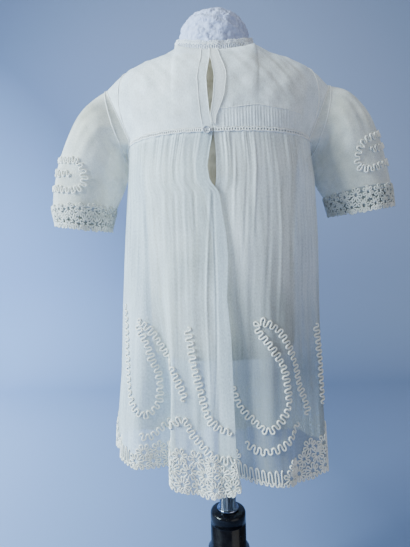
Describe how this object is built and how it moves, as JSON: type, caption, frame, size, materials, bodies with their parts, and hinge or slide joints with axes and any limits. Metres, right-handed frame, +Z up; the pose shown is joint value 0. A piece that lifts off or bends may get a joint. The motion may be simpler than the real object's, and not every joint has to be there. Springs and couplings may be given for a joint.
{
  "type": "child's christening gown on a limbless dress form with a stand",
  "caption": "Short sheer gown with a yoke, gathered skirt, puffed sleeves and scalloped corded borders, closed at the back, on a dress form.",
  "frame": {"origin": "centre of the underside of the stand's base", "axes": "+Z up along the pole, -Y out of the gown's back, +X to the right of a viewer who looks at the back"},
  "size_m": [0.3932, 0.224, 0.711],
  "materials": {
    "net": "sheer fine silk net, soft",
    "cord": "couched cotton cord, matt",
    "form_cloth": "plain woven cover, matt",
    "tape": "crinkled white paper tape",
    "chrome": "polished",
    "black": "gloss",
    "pearl": "grey pearl"
  },
  "bodies": {
    "root": {"form_torso": "form_cloth", "neck_cap": "tape", "pole": "chrome", "stand_hub": "black", "stand_base": "black", "yoke_back_left": "net", "yoke_back_right": "net", "yoke_front": "net", "placket_band": "net", "beading_back_left": "cord", "beading_back_right": "cord", "beading_front": "cord", "skirt_back_left": "net", "skirt_back_right": "net", "skirt_front": "net", "hem_border_back_left": "cord", "hem_border_back_right": "cord", "hem_border_front": "cord", "sleeve_left": "net", "sleeve_right": "net", "cuff_left": "cord", "cuff_right": "cord", "neck_frill": "cord", "button": "pearl", "cord_leaf_back_left": "cord", "cord_vine_back": "cord", "cord_leaf_back_right": "cord", "cord_vine_front": "cord", "cord_loop_sleeve_left": "cord", "cord_loop_sleeve_right": "cord"}
  },
  "joints": []
}
